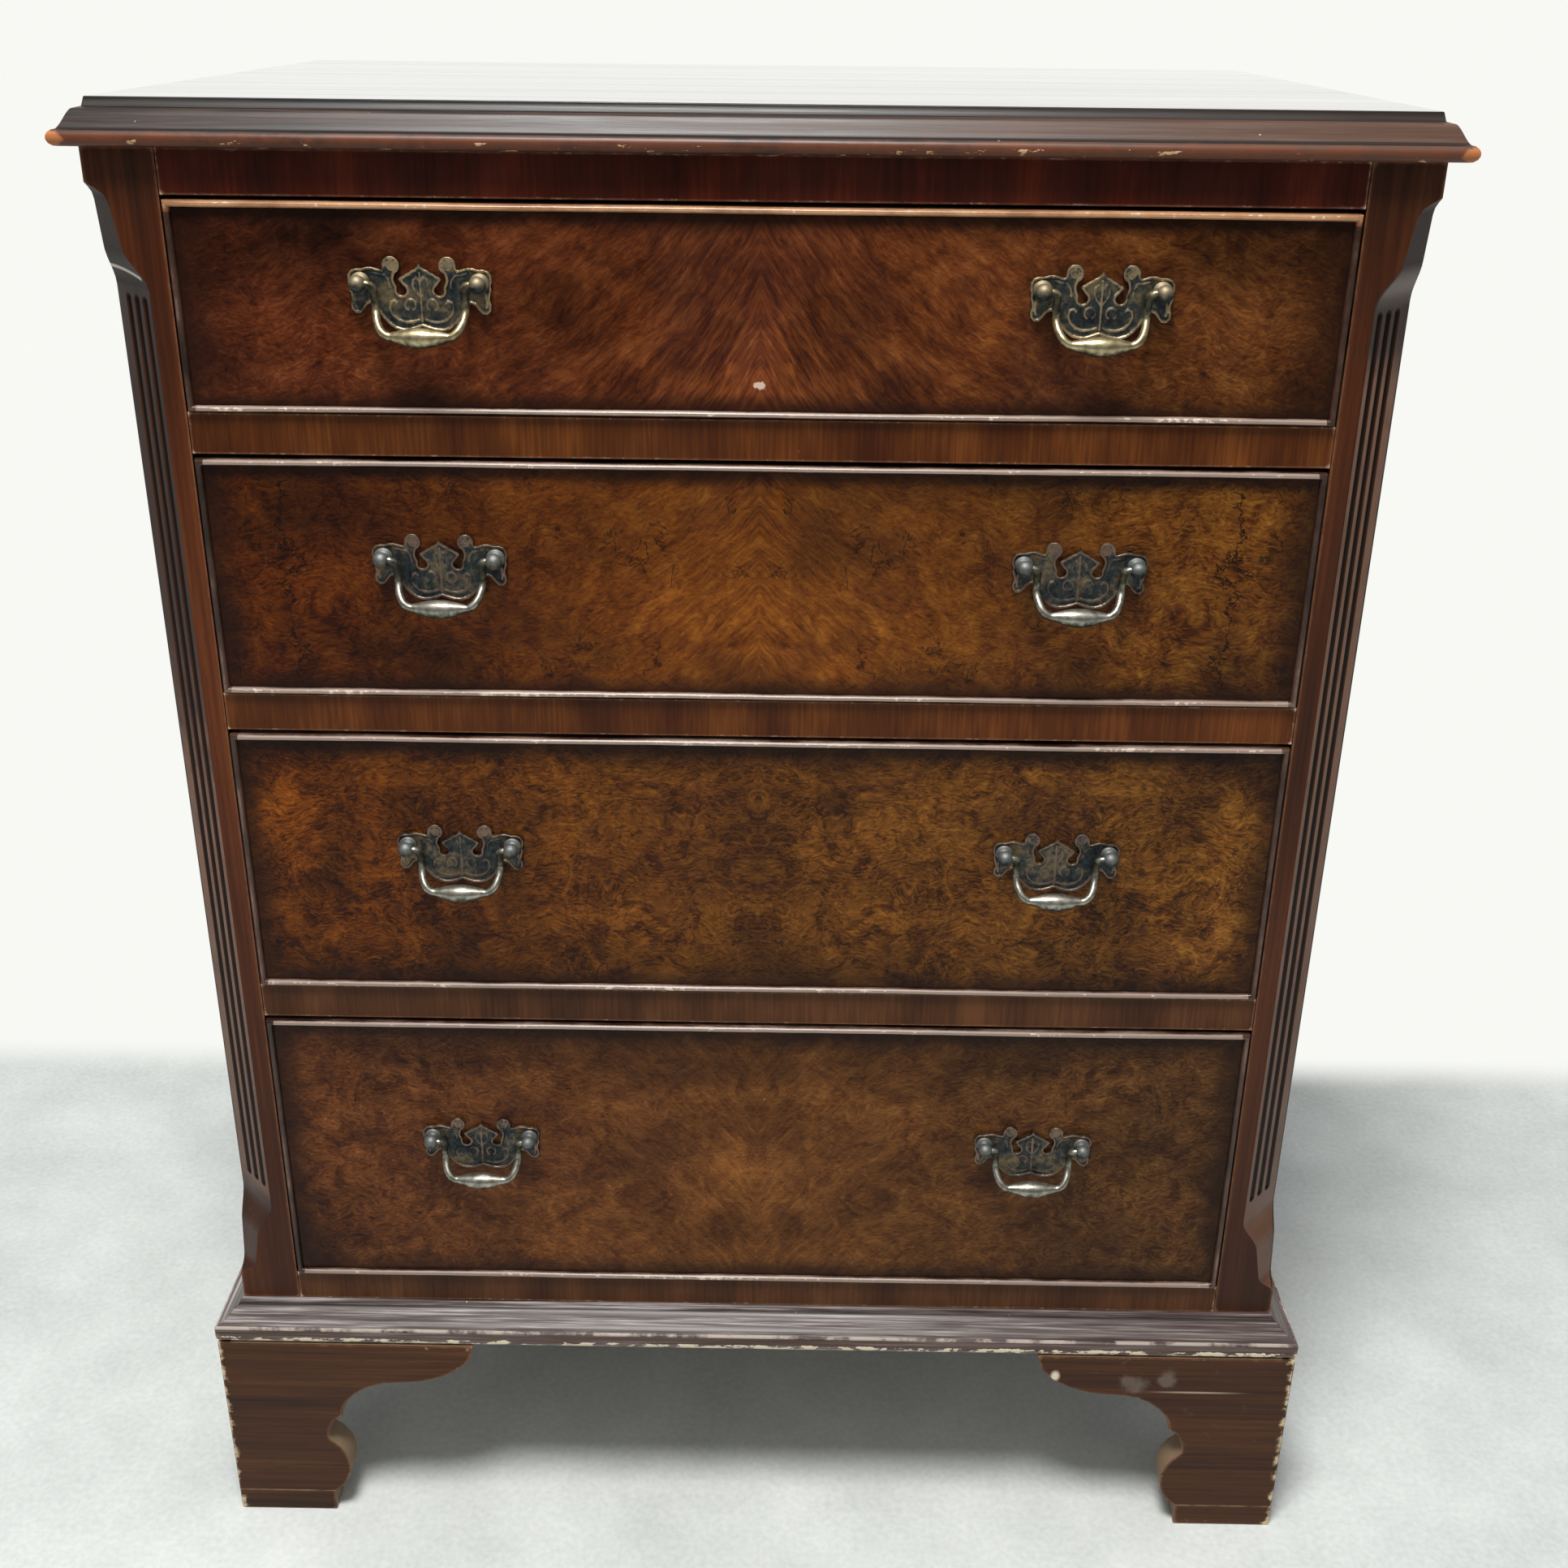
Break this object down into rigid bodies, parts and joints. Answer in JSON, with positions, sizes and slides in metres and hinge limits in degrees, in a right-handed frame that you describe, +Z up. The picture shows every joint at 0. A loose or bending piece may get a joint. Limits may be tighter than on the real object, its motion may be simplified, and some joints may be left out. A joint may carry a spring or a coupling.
{
  "type": "chest of drawers",
  "caption": "Small mahogany chest with graduated cock-beaded drawers in figured walnut, canted fluted corners, moulded top and base, scrolled bracket feet and pierced swan-neck handles",
  "frame": {"origin": "on the floor, under the middle of the chest's bounding box", "axes": "+Z up, -Y out of the drawer fronts, +X to the right for someone who faces the drawers"},
  "size_m": [0.6666, 0.4566, 0.856],
  "materials": {
    "polished_mahogany": "reddish brown, waxed, worn on the edges",
    "ebonised_mahogany": "dark polished top with a worn moulded edge",
    "figured_walnut": "glossy figured veneer, toned darker at the edges",
    "crossbanded_walnut": "crossbanded veneer, semi-gloss",
    "worn_bead": "worn polished bead",
    "aged_pine": "bare, aged",
    "dark_brass": "dark patina, rubbed at the edges",
    "rubbed_brass": "rubbed bright, satin"
  },
  "bodies": {
    "case": {"top_board": "ebonised_mahogany", "left_side_panel": "polished_mahogany", "right_side_panel": "polished_mahogany", "left_corner_post": "polished_mahogany", "right_corner_post": "polished_mahogany", "back_panel": "aged_pine", "frieze_rail": "crossbanded_walnut", "upper_divider_rail": "crossbanded_walnut", "middle_divider_rail": "crossbanded_walnut", "lower_divider_rail": "crossbanded_walnut", "upper_dust_board": "aged_pine", "middle_dust_board": "aged_pine", "lower_dust_board": "aged_pine", "bottom_board": "crossbanded_walnut", "top_kicker_frame": "aged_pine", "base_frame": "polished_mahogany", "front_left_foot": "polished_mahogany", "front_right_foot": "polished_mahogany", "rear_left_foot": "polished_mahogany", "rear_right_foot": "polished_mahogany"},
    "top_drawer": {"top_drawer_front": "figured_walnut", "top_drawer_cock_bead": "worn_bead", "top_drawer_left_side": "aged_pine", "top_drawer_right_side": "aged_pine", "top_drawer_back": "aged_pine", "top_drawer_bottom": "aged_pine", "top_left_handle_plate": "dark_brass", "top_right_handle_plate": "dark_brass"},
    "second_drawer": {"second_drawer_front": "figured_walnut", "second_drawer_cock_bead": "worn_bead", "second_drawer_left_side": "aged_pine", "second_drawer_right_side": "aged_pine", "second_drawer_back": "aged_pine", "second_drawer_bottom": "aged_pine", "second_left_handle_plate": "dark_brass", "second_right_handle_plate": "dark_brass"},
    "third_drawer": {"third_drawer_front": "figured_walnut", "third_drawer_cock_bead": "worn_bead", "third_drawer_left_side": "aged_pine", "third_drawer_right_side": "aged_pine", "third_drawer_back": "aged_pine", "third_drawer_bottom": "aged_pine", "third_left_handle_plate": "dark_brass", "third_right_handle_plate": "dark_brass"},
    "bottom_drawer": {"bottom_drawer_front": "figured_walnut", "bottom_drawer_cock_bead": "worn_bead", "bottom_drawer_left_side": "aged_pine", "bottom_drawer_right_side": "aged_pine", "bottom_drawer_back": "aged_pine", "bottom_drawer_bottom": "aged_pine", "bottom_left_handle_plate": "dark_brass", "bottom_right_handle_plate": "dark_brass"},
    "top_left_bail": {"top_left_bail": "rubbed_brass"},
    "top_right_bail": {"top_right_bail": "rubbed_brass"},
    "second_left_bail": {"second_left_bail": "rubbed_brass"},
    "second_right_bail": {"second_right_bail": "rubbed_brass"},
    "third_left_bail": {"third_left_bail": "rubbed_brass"},
    "third_right_bail": {"third_right_bail": "rubbed_brass"},
    "bottom_left_bail": {"bottom_left_bail": "rubbed_brass"},
    "bottom_right_bail": {"bottom_right_bail": "rubbed_brass"}
  },
  "joints": [
    {"name": "top_drawer_slide", "type": "slide", "parent": "case", "child": "top_drawer", "axis": [0, -1, 0], "range_m": [0, 0.3]},
    {"name": "top_left_bail_pivot", "type": "hinge", "parent": "top_drawer", "child": "top_left_bail", "pos_m": [-0.1625, -0.21965, 0.7748], "axis": [-1, 0, 0], "range_deg": [0, 176]},
    {"name": "top_right_bail_pivot", "type": "hinge", "parent": "top_drawer", "child": "top_right_bail", "pos_m": [0.1625, -0.21965, 0.7748], "axis": [-1, 0, 0], "range_deg": [0, 176]},
    {"name": "second_drawer_slide", "type": "slide", "parent": "case", "child": "second_drawer", "axis": [0, -1, 0], "range_m": [0, 0.3]},
    {"name": "second_left_bail_pivot", "type": "hinge", "parent": "second_drawer", "child": "second_left_bail", "pos_m": [-0.1625, -0.21965, 0.63905], "axis": [-1, 0, 0], "range_deg": [0, 176]},
    {"name": "second_right_bail_pivot", "type": "hinge", "parent": "second_drawer", "child": "second_right_bail", "pos_m": [0.1625, -0.21965, 0.63905], "axis": [-1, 0, 0], "range_deg": [0, 176]},
    {"name": "third_drawer_slide", "type": "slide", "parent": "case", "child": "third_drawer", "axis": [0, -1, 0], "range_m": [0, 0.3]},
    {"name": "third_left_bail_pivot", "type": "hinge", "parent": "third_drawer", "child": "third_left_bail", "pos_m": [-0.1625, -0.21965, 0.47605], "axis": [-1, 0, 0], "range_deg": [0, 176]},
    {"name": "third_right_bail_pivot", "type": "hinge", "parent": "third_drawer", "child": "third_right_bail", "pos_m": [0.1625, -0.21965, 0.47605], "axis": [-1, 0, 0], "range_deg": [0, 176]},
    {"name": "bottom_drawer_slide", "type": "slide", "parent": "case", "child": "bottom_drawer", "axis": [0, -1, 0], "range_m": [0, 0.3]},
    {"name": "bottom_left_bail_pivot", "type": "hinge", "parent": "bottom_drawer", "child": "bottom_left_bail", "pos_m": [-0.1625, -0.21965, 0.2848], "axis": [-1, 0, 0], "range_deg": [0, 176]},
    {"name": "bottom_right_bail_pivot", "type": "hinge", "parent": "bottom_drawer", "child": "bottom_right_bail", "pos_m": [0.1625, -0.21965, 0.2848], "axis": [-1, 0, 0], "range_deg": [0, 176]}
  ]
}
